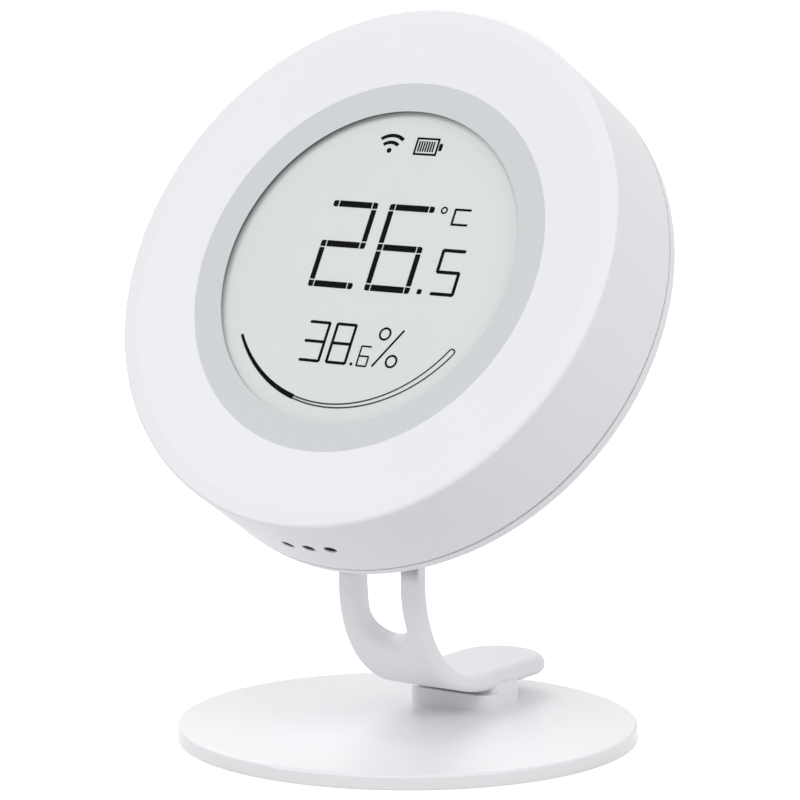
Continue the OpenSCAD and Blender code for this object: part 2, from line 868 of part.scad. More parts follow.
module contact_bridge() {
    color("silver") head() mirror([1, 0, 0]) {
        contact_plate(cell_y[0] - contact_w / 2, cell_y[1] + contact_w / 2);
        contact_dimple(cell_y[0]);
        contact_leaf(cell_y[1]);
    }
}

module battery_leads() {
    color("firebrick") head() for (i = [0, 1]) translate([lead_x[i], 0, lead_z]) {
        translate([0, lead_end_y, 0]) rotate([-90, 0, 0])
            cylinder(r = lead_r, h = cell_y[i] + tail_w / 2 - lead_end_y);
        translate([0, lead_end_y, 0]) sphere(lead_r);
        translate([0, lead_end_y, 0]) cylinder(r = lead_r, h = board_z0 - lead_z);
    }
}

module battery_door() {
    color("white") head() difference() {
        union() {
            translate([-door_x, door_pivot_y, 0]) cube([2 * door_x, door_y1 - door_pivot_y, door_t]);
            translate([-door_x, door_pivot_y, door_t / 2]) rotate([0, 90, 0])
                cylinder(d = door_t, h = 2 * door_x);
            translate([-door_x - trunnion_l + slack, door_pivot_y, door_t / 2]) rotate([0, 90, 0])
                cylinder(r = trunnion_r, h = 2 * (door_x + trunnion_l - slack));
        }
        grip_grooves();
    }
}

// Grooves near the door's free edge
module grip_grooves() {
    groove_count = 4;
    groove_step = 1.4;
    groove_w = 0.6;
    groove_l = 12;
    for (i = [1 : groove_count])
        translate([-groove_l / 2, door_y1 - i * groove_step - groove_w / 2, -past])
            cube([groove_l, groove_w, past + door_t / 4]);
}

foot_pad();
base_plate();
base_socket();
base_screws();
bracket();
bracket_screw();
tilt_pin();
friction_washers();
front_housing();
display_lens();
display_mask();
display_gasket();
lcd_panel();
lcd_carrier();
zebra_strip();
main_board();
radio_module();
controller_chip();
sensor_chip();
sensor_duct();
vent_mesh();
tact_switch();
switch_plunger();
unit_button();
rear_cover();
case_screws();
display_screws();
battery_cell_upper();
battery_cell_lower();
contact_bridge();
contact_positive();
contact_negative();
battery_leads();
battery_door();
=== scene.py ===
"""Looks of the temperature and humidity sensor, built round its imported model."""

import json
import math

import bmesh
import bpy
from mathutils import Matrix, Vector
from mathutils.geometry import delaunay_2d_cdt


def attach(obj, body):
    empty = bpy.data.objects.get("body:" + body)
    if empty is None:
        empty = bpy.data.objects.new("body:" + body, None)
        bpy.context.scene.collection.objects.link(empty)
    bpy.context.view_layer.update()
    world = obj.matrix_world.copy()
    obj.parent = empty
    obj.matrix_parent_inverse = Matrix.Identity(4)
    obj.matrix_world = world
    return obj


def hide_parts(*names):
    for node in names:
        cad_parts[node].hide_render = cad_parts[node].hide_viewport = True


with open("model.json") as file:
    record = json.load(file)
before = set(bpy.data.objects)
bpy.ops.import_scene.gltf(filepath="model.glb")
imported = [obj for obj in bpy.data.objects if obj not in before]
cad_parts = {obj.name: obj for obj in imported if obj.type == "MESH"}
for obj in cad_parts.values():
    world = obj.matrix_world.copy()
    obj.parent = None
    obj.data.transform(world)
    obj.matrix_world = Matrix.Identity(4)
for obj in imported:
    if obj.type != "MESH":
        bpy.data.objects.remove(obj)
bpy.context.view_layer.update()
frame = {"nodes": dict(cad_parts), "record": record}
nodes = frame["nodes"]

# Sizes in millimetres, as in the part's source
MM = 0.001
HINGE_Y = -6.1
HINGE_Z = 33.55
HINGE_DROP = 27.3
HINGE_GAP = 3.8
HEAD_TILT = 30.0
BASE_TOP = 2.15


def head_matrix():
    """From the head's own millimetres, rear face at zero and +Z to the viewer, to metres."""
    return (
        Matrix.Scale(MM, 4)
        @ Matrix.Translation((0, HINGE_Y, HINGE_Z))
        @ Matrix.Rotation(math.radians(90 - HEAD_TILT), 4, "X")
        @ Matrix.Translation((0, HINGE_DROP, HINGE_GAP))
    )


HEAD = head_matrix()
STAND = Matrix.Scale(MM, 4)


# Materials


def linear(srgb):
    """Scene colour of an 8 bit display colour."""
    out = []
    for value in srgb:
        c = value / 255
        out.append(c / 12.92 if c <= 0.04045 else ((c + 0.055) / 1.055) ** 2.4)
    return (*out, 1.0)


class Paint:
    """Short way to build one material's node tree round its own shader."""

    def __init__(self, name):
        self.material = bpy.data.materials.new(name)
        self.material.use_nodes = True
        self.tree = self.material.node_tree
        self.shader = self.tree.nodes["Principled BSDF"]

    def add(self, kind, **inputs):
        node = self.tree.nodes.new(kind)
        for key, value in inputs.items():
            node.inputs[key.replace("_", " ")].default_value = value
        return node

    def link(self, out, into):
        self.tree.links.new(out, into)

    def place(self):
        """Place on the object, in metres."""
        return self.tree.nodes.new("ShaderNodeTexCoord").outputs["Object"]

    def noise(self, scale, detail=3.0, stretch=(1, 1, 1)):
        """Noise of so many cells per metre, stretched by axis."""
        squeeze = self.add("ShaderNodeMapping", Scale=stretch)
        node = self.add("ShaderNodeTexNoise", Scale=scale, Detail=detail)
        self.link(self.place(), squeeze.inputs["Vector"])
        self.link(squeeze.outputs["Vector"], node.inputs["Vector"])
        return node.outputs["Fac"]

    def spread(self, value, low, high, first=0.0, last=1.0, smooth=False):
        """Value from first to last spread between low and high."""
        node = self.add("ShaderNodeMapRange", From_Min=first, From_Max=last, To_Min=low, To_Max=high)
        if smooth:
            node.interpolation_type = "SMOOTHSTEP"
        self.link(value, node.inputs["Value"])
        return node.outputs["Result"]

    def tint(self, value, first, second):
        """Colour that goes from first to second with the value; first may be a socket."""
        node = self.tree.nodes.new("ShaderNodeMix")
        node.data_type = "RGBA"
        colours = [s for s in node.inputs if s.type == "RGBA"]
        if isinstance(first, bpy.types.NodeSocket):
            self.link(first, colours[0])
        else:
            colours[0].default_value = first
        colours[1].default_value = second
        self.link(value, node.inputs["Factor"])
        return [s for s in node.outputs if s.type == "RGBA"][0]

    def vector(self, operation, first, second=None):
        """Result of a vector sum, whose second term is a constant."""
        node = self.tree.nodes.new("ShaderNodeVectorMath")
        node.operation = operation
        self.link(first, node.inputs[0])
        if second is not None:
            node.inputs[1].default_value = second
        return node.outputs["Value" if operation in ("LENGTH", "DOT_PRODUCT") else "Vector"]

    def times(self, first, second):
        node = self.tree.nodes.new("ShaderNodeMath")
        node.operation = "MULTIPLY"
        self.link(first, node.inputs[0])
        self.link(second, node.inputs[1])
        return node.outputs[0]

    def bump(self, height, strength, distance):
        node = self.add("ShaderNodeBump", Strength=strength, Distance=distance)
        self.link(height, node.inputs["Height"])
        self.link(node.outputs["Normal"], self.shader.inputs["Normal"])


def moulded_paint(name, srgb, rough, grain=4200.0, depth=0.00002, change=4, metal=0.0, gloss=0.5):
    """Moulded or coated surface: fine grain, slight change of gloss, and the tone that is to colour it."""
    made = Paint(name)
    darker = [max(c - change, 0) for c in srgb]
    tone = made.tint(made.noise(55.0, 4.0), linear(srgb), linear(darker))
    fine = made.noise(grain, 2.0)
    made.link(made.spread(fine, rough - 0.05, rough + 0.05), made.shader.inputs["Roughness"])
    made.bump(fine, 0.35, depth)
    made.shader.inputs["Metallic"].default_value = metal
    made.shader.inputs["Specular IOR Level"].default_value = gloss
    return made, tone


def moulded(*values, **more):
    made, tone = moulded_paint(*values, **more)
    made.link(tone, made.shader.inputs["Base Color"])
    return made.material


def brushed(name, srgb, rough):
    """Metal with fine lines along one way."""
    made = Paint(name)
    lines = made.noise(900.0, 3.0, (1, 1, 30))
    darker = [c * 0.86 for c in srgb]
    made.link(made.tint(lines, linear(srgb), linear(darker)), made.shader.inputs["Base Color"])
    made.link(made.spread(lines, rough - 0.06, rough + 0.1), made.shader.inputs["Roughness"])
    made.bump(lines, 0.2, 0.00001)
    made.shader.inputs["Metallic"].default_value = 1.0
    return made.material


def lens_clear():
    """Clear window: a faint gloss over what lies behind it."""
    made = Paint("clear_lens")
    made.link(made.spread(made.noise(300.0, 2.0), 0.14, 0.2), made.shader.inputs["Roughness"])
    made.shader.inputs["Base Color"].default_value = linear((244, 247, 247))
    made.shader.inputs["Alpha"].default_value = 0.004
    made.shader.inputs["Specular IOR Level"].default_value = 0.25
    return made.material


# Painted shade round the display's edge and on the bracket's legs, with display colours of 8 bits
LCD_Z = 15.5
RING_Z0 = 16.2
SHADE_R0 = 22.5
SHADE_R1 = 23.4
SHADE_TOWARD = (-0.7, 0.71, 0)
SHADE_FULL = 0.9
LCD_TONE = (225, 229, 227)
LCD_TONE_LOW = (222, 226, 224)
LCD_SHADE = (190, 195, 193)
FOAM_FOOT = (180, 185, 183)
FOAM_PAINTED_SHADE = (18, 20, 20)
LEG_SHADE_Z0 = 22.9
LEG_SHADE_Z1 = 26.5
LEG_SHADE = (150, 150, 153)
WHITE = (240, 240, 244)
WHITE_ROUGH = 0.42


def head_way(way):
    """Direction in the shared frame of one in the head's own frame."""
    return (HEAD.to_3x3() @ Vector(way)).normalized()


def shade_side(made, outward):
    """1 towards the display's upper left edge, which the light from above leaves in shade, else less."""
    facing = made.vector("DOT_PRODUCT", made.vector("NORMALIZE", outward), head_way(SHADE_TOWARD))
    return made.spread(facing, 0, 1, 0, SHADE_FULL, True)


def lcd_glass():
    """Pale LCD, with a painted shade of the ring's edge at its upper left."""
    made = Paint("lcd_glass")
    made.shader.inputs["Specular IOR Level"].default_value = 0.1
    made.link(made.spread(made.noise(6000.0, 2.0), 0.35, 0.45), made.shader.inputs["Roughness"])
    tone = made.tint(made.noise(60.0), linear(LCD_TONE), linear(LCD_TONE_LOW))
    outward = made.vector("SUBTRACT", made.place(), HEAD @ Vector((0, 0, LCD_Z)))
    edge = made.spread(made.vector("LENGTH", outward), 0, 1, SHADE_R0 * MM, SHADE_R1 * MM, True)
    # Painted shade of the ring's edge, darkest towards the upper left
    shaded = made.tint(made.times(edge, shade_side(made, outward)), tone, linear(LCD_SHADE))
    made.link(shaded, made.shader.inputs["Base Color"])
    return made.material


def gasket_foam_and_shade():
    """Gasket foam, pale at its foot by the LCD, with a painted shade that darkens it towards the grey ring,
    most at the display's upper left.
    """
    made = Paint("black_foam")
    made.shader.inputs["Specular IOR Level"].default_value = 0.1
    fine = made.noise(2500.0, 2.0)
    made.link(made.spread(fine, 0.75, 0.85), made.shader.inputs["Roughness"])
    made.bump(fine, 0.2, 0.00002)
    outward = made.vector("SUBTRACT", made.place(), HEAD @ Vector((0, 0, LCD_Z)))
    rise = made.vector("DOT_PRODUCT", outward, head_way((0, 0, 1)))
    height = made.spread(rise, 0, 1, 0, (RING_Z0 - LCD_Z) * MM)
    # Painted shade: darker towards the grey ring, most at the display's upper left
    dark = made.times(height, shade_side(made, outward))
    made.link(made.tint(dark, linear(FOAM_FOOT), linear(FOAM_PAINTED_SHADE)), made.shader.inputs["Base Color"])
    return made.material


def bracket_shell():
    """Moulded white of the bracket, with a painted shade on the front faces of its legs close under the
    head.
    """
    made, tone = moulded_paint("bracket_white_and_shade", WHITE, WHITE_ROUGH)
    rise = made.vector("DOT_PRODUCT", made.place(), (0, 0, 1))
    height = made.spread(rise, 0, 1, LEG_SHADE_Z0 * MM, LEG_SHADE_Z1 * MM, True)
    normal = made.tree.nodes.new("ShaderNodeNewGeometry").outputs["Normal"]
    front = made.spread(made.vector("DOT_PRODUCT", normal, (0, -1, 0)), 0, 1, 0.2, 0.8, True)
    # Painted shade: darker higher up the legs' front faces, under the head
    shaded = made.tint(made.times(height, front), tone, linear(LEG_SHADE))
    made.link(shaded, made.shader.inputs["Base Color"])
    return made.material


white = moulded("white_shell", WHITE, WHITE_ROUGH)
bracket_white_and_shade = bracket_shell()
materials = {
    "white_shell": white,
    "base_coat": moulded("base_coat", (241, 241, 244), 0.3, grain=3000.0, depth=0.00001),
    "foot_rubber": moulded("foot_rubber", (70, 70, 73), 0.75, grain=1500.0, depth=0.00008, change=12),
    "screw_steel": brushed("screw_steel", (205, 206, 210), 0.32),
    "washer_bronze": brushed("washer_bronze", (196, 158, 104), 0.3),
    "clear_lens": lens_clear(),
    "grey_mask": moulded(
        "grey_mask", (213, 217, 220), 0.5, grain=6000.0, depth=0.000005, change=2, gloss=0.1
    ),
    "black_foam": gasket_foam_and_shade(),
    "lcd_glass": lcd_glass(),
    "inner_plastic": moulded("inner_plastic", (235, 235, 232), 0.5),
    "zebra_rubber": moulded("zebra_rubber", (222, 180, 178), 0.7),
    "board_green": moulded("board_green", (34, 108, 66), 0.35, grain=1200.0, change=14),
    "shield_can": brushed("shield_can", (214, 214, 212), 0.3),
    "chip_black": moulded("chip_black", (38, 38, 40), 0.45, grain=3500.0, change=8),
    "duct_rubber": moulded("duct_rubber", (120, 121, 123), 0.7),
    "mesh_steel": moulded("mesh_steel", (26, 26, 28), 0.8, grain=9000.0, change=10, gloss=0.1),
    "switch_plastic": moulded("switch_plastic", (44, 44, 46), 0.5),
    "button_grey": moulded("button_grey", (222, 223, 225), 0.45),
    "cell_sleeve": moulded("cell_sleeve", (96, 104, 112), 0.3, grain=800.0, change=8),
    "contact_nickel": brushed("contact_nickel", (221, 217, 208), 0.25),
    "lead_red": moulded("lead_red", (176, 36, 32), 0.4, change=10),
}
for row in frame["record"]["subparts"]:
    mesh = nodes[row["node"]].data
    mesh.materials.clear()
    mesh.materials.append(materials[row["material_slot"]])

lcd_ink = moulded("lcd_ink", (9, 12, 12), 0.6, grain=9000.0, depth=0.000002, change=4, gloss=0.0)
lcd_pale_ink = moulded("lcd_pale_ink", (72, 77, 77), 0.6, grain=9000.0, depth=0.000002, change=6, gloss=0.0)


# Mesh helpers


def place_piece(name, mesh, material, body):
    """Adds a mesh that is already in metres as a piece that rides on a body."""
    mesh.materials.append(material)
    piece = bpy.data.objects.new(name, mesh)
    bpy.context.scene.collection.objects.link(piece)
    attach(piece, body)
    return piece


def finish_mesh(name, bm, matrix, smooth=True):
    """Closes a mesh built in millimetres and moves it into the shared frame."""
    bmesh.ops.remove_doubles(bm, verts=bm.verts, dist=0.0005)
    bmesh.ops.recalc_face_normals(bm, faces=bm.faces)
    bm.transform(matrix)
    for face in bm.faces:
        face.smooth = smooth
    mesh = bpy.data.meshes.new(name)
    bm.to_mesh(mesh)
    bm.free()
    return mesh


def polar(cx, cy, r, degrees):
    a = math.radians(degrees)
    return (cx + r * math.cos(a), cy + r * math.sin(a))


def arc_points(cx, cy, r, start, end, steps):
    return [polar(cx, cy, r, start + (end - start) * i / steps) for i in range(steps + 1)]


def between(first, last, share):
    return first + (last - first) * share


def lathe(name, profile, matrix, steps=128):
    """Turned solid: profile of (radius, height) from the axis round to the axis, turned about Z."""
    bm = bmesh.new()
    rings = []
    for r, z in profile:
        count = 1 if r == 0 else steps
        ring = [bm.verts.new((*polar(0, 0, r, 360 * i / steps), z)) for i in range(count)]
        rings.append(ring)
    for low, high in zip(rings, rings[1:]):
        for i in range(steps):
            j = (i + 1) % steps
            corners = [low[i % len(low)], low[j % len(low)], high[j % len(high)], high[i % len(high)]]
            face = list(dict.fromkeys(corners))
            if len(face) > 2:
                bm.faces.new(face)
    return finish_mesh(name, bm, matrix)


def combine(mesh, others):
    """Adds or cuts closed meshes, each given with the way it is combined."""
    scene = bpy.context.scene
    body = bpy.data.objects.new("combine_body", mesh)
    scene.collection.objects.link(body)
    tools = []
    for other, way in others:
        tool = bpy.data.objects.new("combine_tool", other)
        scene.collection.objects.link(tool)
        tools.append(tool)
        modifier = body.modifiers.new("combine", "BOOLEAN")
        modifier.operation = way
        modifier.solver = "EXACT"
        modifier.object = tool
    graph = bpy.context.evaluated_depsgraph_get()
    result = bpy.data.meshes.new_from_object(body.evaluated_get(graph))
    for used in [body, *tools]:
        bpy.data.objects.remove(used)
    return result


def box_mesh(x0, x1, y0, y1, z0, z1, matrix):
    bm = bmesh.new()
    bmesh.ops.create_cube(bm, size=1.0)
    for v in bm.verts:
        v.co.x = x0 if v.co.x < 0 else x1
        v.co.y = y0 if v.co.y < 0 else y1
        v.co.z = z0 if v.co.z < 0 else z1
    return finish_mesh("box", bm, matrix, False)


# Bracket: a flat plate with rounded edges, bent between the curves of its two faces

PLATE_HALF_W = 6.8
SLOT_HALF_W = 3.4
SLOT_FLARE = 0.4
EYE_R = 3.0
OUTER_CENTRE = (9.05, 22.0)
OUTER_BEND = (16.7, 16.35)
INNER_CENTRE = (10.35, 24.0)
INNER_BEND = (15.0, 16.4)
BEND_TURN = 74.0
SLOT_TURN = 15.2
TONGUE_Z0 = 5.2
TONGUE_Z1 = 7.75
TONGUE_CENTRE_Y = 22.55
LOWER_HEEL = 3.0
UPPER_HEEL = 1.0
# Rounds at the plate's outline and at the slot, each on the outer and on the inner face
OUTLINE_ROUND = (1.0, 1.55)
SLOT_ROUND = (1.3, 0.1)
PIN_R = 1.25
PEG_HALF_W = 4.0
PEG_Y0 = 11.8
PEG_Y1 = 16.0
PEG_Z0 = 2.25


def bend_point(centre, reach, turn):
    """Point on one face's bend, which is part of an ellipse."""
    a = math.radians(turn)
    return (centre[0] + reach[0] * math.cos(a), centre[1] + reach[1] * math.sin(a))


def heel_height(y, start, slope, level, reach):
    """Height of a face that runs down from the bend's end and turns level, over twice the reach."""
    corner = start[0] + (start[1] - level) / slope
    left = corner - y
    if left >= reach:
        return level + slope * left
    if left <= -reach:
        return level
    return level + slope * (left + reach) ** 2 / (4 * reach)


def bracket_faces():
    """Pairs of (y, z) points on the outer and the inner face, from the eyes' top to the tongue's end."""
    pairs = []
    leg_front = OUTER_CENTRE[0] - OUTER_BEND[0]
    leg_back = INNER_CENTRE[0] - INNER_BEND[0]
    neck = 180 - math.degrees(math.asin((leg_back - leg_front) / 2 / EYE_R))
    eye_steps, leg_steps, bend_steps, tongue_steps = 24, 8, 60, 60
    for i in range(eye_steps):
        half, rise = polar(0, 0, EYE_R, 90 - neck * i / eye_steps)
        pairs.append(((HINGE_Y - half, HINGE_Z + rise), (HINGE_Y + half, HINGE_Z + rise)))
    leg_top = HINGE_Z + EYE_R * math.cos(math.radians(neck))
    for i in range(leg_steps):
        share = i / leg_steps
        outer = (leg_front, between(leg_top, OUTER_CENTRE[1], share))
        inner = (leg_back, between(leg_top, INNER_CENTRE[1], share))
        pairs.append((outer, inner))
    for i in range(bend_steps + 1):
        turn = 180 + BEND_TURN * i / bend_steps
        outer = bend_point(OUTER_CENTRE, OUTER_BEND, turn)
        inner = bend_point(INNER_CENTRE, INNER_BEND, turn)
        pairs.append((outer, inner))
    outer_end, inner_end = pairs[-1]
    fall = math.tan(math.radians(90 - BEND_TURN))
    outer_slope = fall * OUTER_BEND[1] / OUTER_BEND[0]
    inner_slope = fall * INNER_BEND[1] / INNER_BEND[0]
    tongue_end = TONGUE_CENTRE_Y + PLATE_HALF_W
    for i in range(1, tongue_steps + 1):
        y0 = between(outer_end[0], tongue_end, i / tongue_steps)
        y1 = between(inner_end[0], tongue_end, i / tongue_steps)
        lower = heel_height(y0, outer_end, outer_slope, TONGUE_Z0, LOWER_HEEL)
        upper = heel_height(y1, inner_end, inner_slope, TONGUE_Z1, UPPER_HEEL)
        pairs.append(((y0, lower), (y1, upper)))
    return [(Vector(a), Vector(b)) for a, b in pairs]


class Bend:
    """Places points of the flat plate, across x and along its middle line, on the bent bracket."""

    def __init__(self, pairs):
        self.pairs = pairs
        middles = [(a + b) / 2 for a, b in pairs]
        self.along = [0.0]
        for p, q in zip(middles, middles[1:]):
            self.along.append(self.along[-1] + (q - p).length)
        self.middles = middles

    def length_at(self, test):
        """Length along the middle line at its first point that passes a test."""
        return next(s for s, m in zip(self.along, self.middles) if test(m))

    def place(self, x, s, drops):
        """Points on the outer and inner face, each let down into the plate by its drop."""
        i = 0
        while i < len(self.along) - 2 and self.along[i + 1] < s:
            i += 1
        share = min((s - self.along[i]) / (self.along[i + 1] - self.along[i]), 1.0)
        outer = self.pairs[i][0].lerp(self.pairs[i + 1][0], share)
        inner = self.pairs[i][1].lerp(self.pairs[i + 1][1], share)
        thick = (inner - outer).length
        most = 0.96
        scale = min(1.0, most * thick / sum(drops)) if sum(drops) > 0 else 1.0
        into = (inner - outer).normalized()
        a = outer + into * drops[0] * scale
        b = inner - into * drops[1] * scale
        return (x, a.x, a.y), (x, b.x, b.y)


def edge_drop(inside, radius):
    """How far a rounded edge falls away, at a distance inside the plate's outline."""
    if inside >= radius:
        return 0.0
    share = 1 - max(inside, 0) / radius
    return radius * (1 - math.sqrt(max(1 - share * share, 0)))


def slot_half_w(s, slot_s):
    """Half width of the slot, which flares towards its round end."""
    share = max(min(s / slot_s, 1.0), 0.0)
    return SLOT_HALF_W + SLOT_FLARE * share ** 3


def plate_rings(slot_s, end_s):
    """Lines that follow the plate's outline and its slot at growing distances inside, as (x, s) points."""
    rows = 60
    turns = 48
    steps = 8
    outer, inner = [], []
    for step in range(steps + 1):
        # Closer together towards the edge, as the rounding is steepest there
        share = 1 - math.cos(math.radians(90 * step / steps))
        w = PLATE_HALF_W - max(OUTLINE_ROUND) * share
        right = [(w, end_s * i / rows) for i in range(rows)]
        left = [(-x, s) for x, s in reversed(right)]
        outer.append(right + arc_points(0, end_s, w, 0, 180, turns) + left)
        inset = max(SLOT_ROUND) * share
        right = [(slot_half_w(slot_s * i / rows, slot_s) + inset, slot_s * i / rows) for i in range(rows)]
        left = [(-x, s) for x, s in reversed(right)]
        end_w = slot_half_w(slot_s, slot_s) + inset
        inner.append(right + arc_points(0, slot_s, end_w, 0, 180, turns // 2) + left)
    return outer, inner


def plate_middle(slot_s, end_s):
    """Loose points between the rings, on a grid."""
    step = 0.8
    points = []
    s = 0.0
    while s < end_s + PLATE_HALF_W:
        for i in range(-8, 9):
            x = i * step
            out_gap, slot_gap = plate_depth(x, s, slot_s, end_s)
            if out_gap > max(OUTLINE_ROUND) + step / 2 and slot_gap > max(SLOT_ROUND) + step / 2:
                points.append((x, s))
        s += step
    return points


def plate_depth(x, s, slot_s, end_s):
    """Distances inside the plate's outline and outside its slot."""
    out_gap = PLATE_HALF_W - (abs(x) if s <= end_s else math.hypot(x, s - end_s))
    slot_gap = (abs(x) if s <= slot_s else math.hypot(x, s - slot_s)) - slot_half_w(s, slot_s)
    return out_gap, slot_gap


def bracket_mesh():
    bend = Bend(bracket_faces())
    slot_z = bend_point(OUTER_CENTRE, OUTER_BEND, 180 + SLOT_TURN)[1]
    slot_s = bend.length_at(lambda m: m.y <= slot_z)
    end_s = bend.length_at(lambda m: m.x >= TONGUE_CENTRE_Y)
    outer, inner = plate_rings(slot_s, end_s)
    points, edges = [], []
    outline = []
    for ring in [*outer, *inner]:
        first = len(points)
        points += [Vector(p) for p in ring]
        numbers = list(range(first, len(points)))
        edges += list(zip(numbers, numbers[1:]))
        if ring is outer[0]:
            outline += numbers
        if ring is inner[0]:
            outline += numbers[::-1]
    points += [Vector(p) for p in plate_middle(slot_s, end_s)]
    flat, _, faces, *_ = delaunay_2d_cdt(points, edges, [outline], 1, 0.0001)
    bm = bmesh.new()
    tops, lows = [], []
    for p in flat:
        out_gap, slot_gap = plate_depth(p.x, p.y, slot_s, end_s)
        drops = [edge_drop(out_gap, r) + edge_drop(slot_gap, q) for r, q in zip(OUTLINE_ROUND, SLOT_ROUND)]
        a, b = bend.place(p.x, p.y, drops)
        tops.append(bm.verts.new(a))
        lows.append(bm.verts.new(b))
    sides = {}
    for face in faces:
        bm.faces.new([tops[i] for i in face])
        bm.faces.new([lows[i] for i in reversed(face)])
        for i, j in zip(face, [*face[1:], face[0]]):
            sides[(i, j)] = True
    for i, j in sides:
        if (j, i) not in sides:
            bm.faces.new((tops[j], tops[i], lows[i], lows[j]))
    return finish_mesh("bracket_arm", bm, STAND)


def add_bracket():
    strip = bracket_mesh()
    along_x = Matrix.Rotation(math.radians(90), 4, "Y")
    bore_matrix = STAND @ Matrix.Translation((0, HINGE_Y, HINGE_Z)) @ along_x
    reach = 2 * PLATE_HALF_W
    bore = lathe("bore", [(0, -reach), (PIN_R, -reach), (PIN_R, reach), (0, reach)], bore_matrix, 48)
    peg_top = (TONGUE_Z0 + TONGUE_Z1) / 2
    peg = box_mesh(-PEG_HALF_W, PEG_HALF_W, PEG_Y0, PEG_Y1, PEG_Z0, peg_top, STAND)
    mesh = combine(strip, [(bore, "DIFFERENCE"), (peg, "UNION")])
    mesh.materials.clear()
    piece = place_piece("bracket_arm", mesh, bracket_white_and_shade, "stand")
    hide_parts("bracket")


# Block on the base: a step at the front leaves a slit under the bracket, the rest rises to the tongue

BLOCK_HALF_W = 7.2
BLOCK_FRONT = 9.8
BLOCK_REAR = 17.8
BLOCK_FRONT_R = 2.4
BLOCK_REAR_R = 0.8
BLOCK_STEP_Z = 4.55
BLOCK_TOP = 5.95
BLOCK_SOFT = 0.2
STEP_BACK = 2.0
WAIST_Z = 4.3
WAIST = 0.3
FLARE_R = 0.6


def block_ring(half_w, front, rear, front_r):
    """Outline of the block with round corners, as (x, y) points."""
    corners = (
        (half_w - BLOCK_REAR_R, rear - BLOCK_REAR_R, BLOCK_REAR_R, 0),
        (-half_w + BLOCK_REAR_R, rear - BLOCK_REAR_R, BLOCK_REAR_R, 90),
        (-half_w + front_r, front + front_r, front_r, 180),
        (half_w - front_r, front + front_r, front_r, 270),
    )
    points = []
    for cx, cy, r, start in corners:
        points += arc_points(cx, cy, r, start, start + 90, 12)
    return points


def block_sides(z):
    """Half width and rear edge at a height: a waist towards the tongue, and a flare back under it."""
    share = min(max((z - WAIST_Z) / (BLOCK_TOP - WAIST_Z), 0), 1)
    half_w = BLOCK_HALF_W - WAIST * share * share * (3 - 2 * share)
    lift = min(max((z - BLOCK_TOP + FLARE_R) / FLARE_R, 0), 1)
    return half_w, BLOCK_REAR + FLARE_R * (1 - math.sqrt(1 - lift * lift))


def add_block():
    levels = [(BASE_TOP, 0.0, 0.0), (BASE_TOP + 1.0, 0.0, 0.0)]
    for i in range(7):
        levels.append((between(WAIST_Z - 0.4, BLOCK_STEP_Z - BLOCK_SOFT, i / 6), 0.0, 0.0))
    for i in range(1, 6):
        rise, inset = polar(0, 0, BLOCK_SOFT, 90 - 18 * i)
        levels.append((BLOCK_STEP_Z - BLOCK_SOFT + inset, BLOCK_SOFT - rise, 0.0))
    levels.append((BLOCK_STEP_Z, STEP_BACK, 1.0))
    for i in range(1, 8):
        levels.append((between(BLOCK_STEP_Z, BLOCK_TOP, i / 7), STEP_BACK, 1.0))
    bm = bmesh.new()
    rings = []
    for z, back, narrow in levels:
        half_w, rear = block_sides(z)
        points = block_ring(half_w, BLOCK_FRONT + back, rear, BLOCK_FRONT_R - narrow)
        rings.append([bm.verts.new((x, y, z)) for x, y in points])
    count = len(rings[0])
    for low, high in zip(rings, rings[1:]):
        for i in range(count):
            j = (i + 1) % count
            bm.faces.new((low[i], low[j], high[j], high[i]))
    bm.faces.new(rings[0][::-1])
    bm.faces.new(rings[-1])
    mesh = finish_mesh("block_soft", bm, STAND)
    mesh.set_sharp_from_angle(angle=math.radians(50))
    piece = place_piece("block_soft", mesh, white, "stand")
    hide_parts("base_socket")


# Window, grey ring and gasket, turned so that they fill the opening and their faces stay apart

OPENING_R = 27.52
WINDOW_R = 23.35
GASKET_R = 25.6
LENS_Z0 = 16.32
LENS_Z1 = 16.5
RING_Z1 = 16.3
EDGE = 0.01


def add_display_piece(name, profile, slot, node):
    mesh = lathe(name, profile, HEAD)
    mesh.set_sharp_from_angle(angle=math.radians(40))
    piece = place_piece(name, mesh, materials[slot], "head")
    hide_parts(node)


def add_display():
    window = [
        (0, LENS_Z0),
        (WINDOW_R, LENS_Z0),
        (OPENING_R, LENS_Z1 - EDGE),
        (OPENING_R, LENS_Z1),
        (0, LENS_Z1),
    ]
    add_display_piece("window", window, "clear_lens", "display_lens")
    foot = (WINDOW_R, RING_Z0)
    ring = [foot, (OPENING_R, RING_Z0), (OPENING_R, LENS_Z1 - 2 * EDGE), (WINDOW_R, RING_Z1), foot]
    add_display_piece("grey_ring", ring, "grey_mask", "display_mask")
    foot = (WINDOW_R, LCD_Z)
    gasket = [foot, (GASKET_R, LCD_Z), (GASKET_R, RING_Z0), (WINDOW_R, RING_Z0), foot]
    add_display_piece("gasket_ring", gasket, "black_foam", "display_gasket")


# Mesh behind the vents: a curved strip, with a pad in each hole whose dark colour also stands as painted
# shade for the hole's inside

MESH_R0 = 36.68
MESH_R1 = 36.9
MESH_HALF_H = 1.75
MESH_HALF_ANGLE = 9.8
VENT_R = 0.92
VENT_Z = 9.6
VENT_STEP = 5.2
VENT_PLACES = (-1, 0, 1)
PAD_TOP = 38.72
PAD_SOFT = 0.15


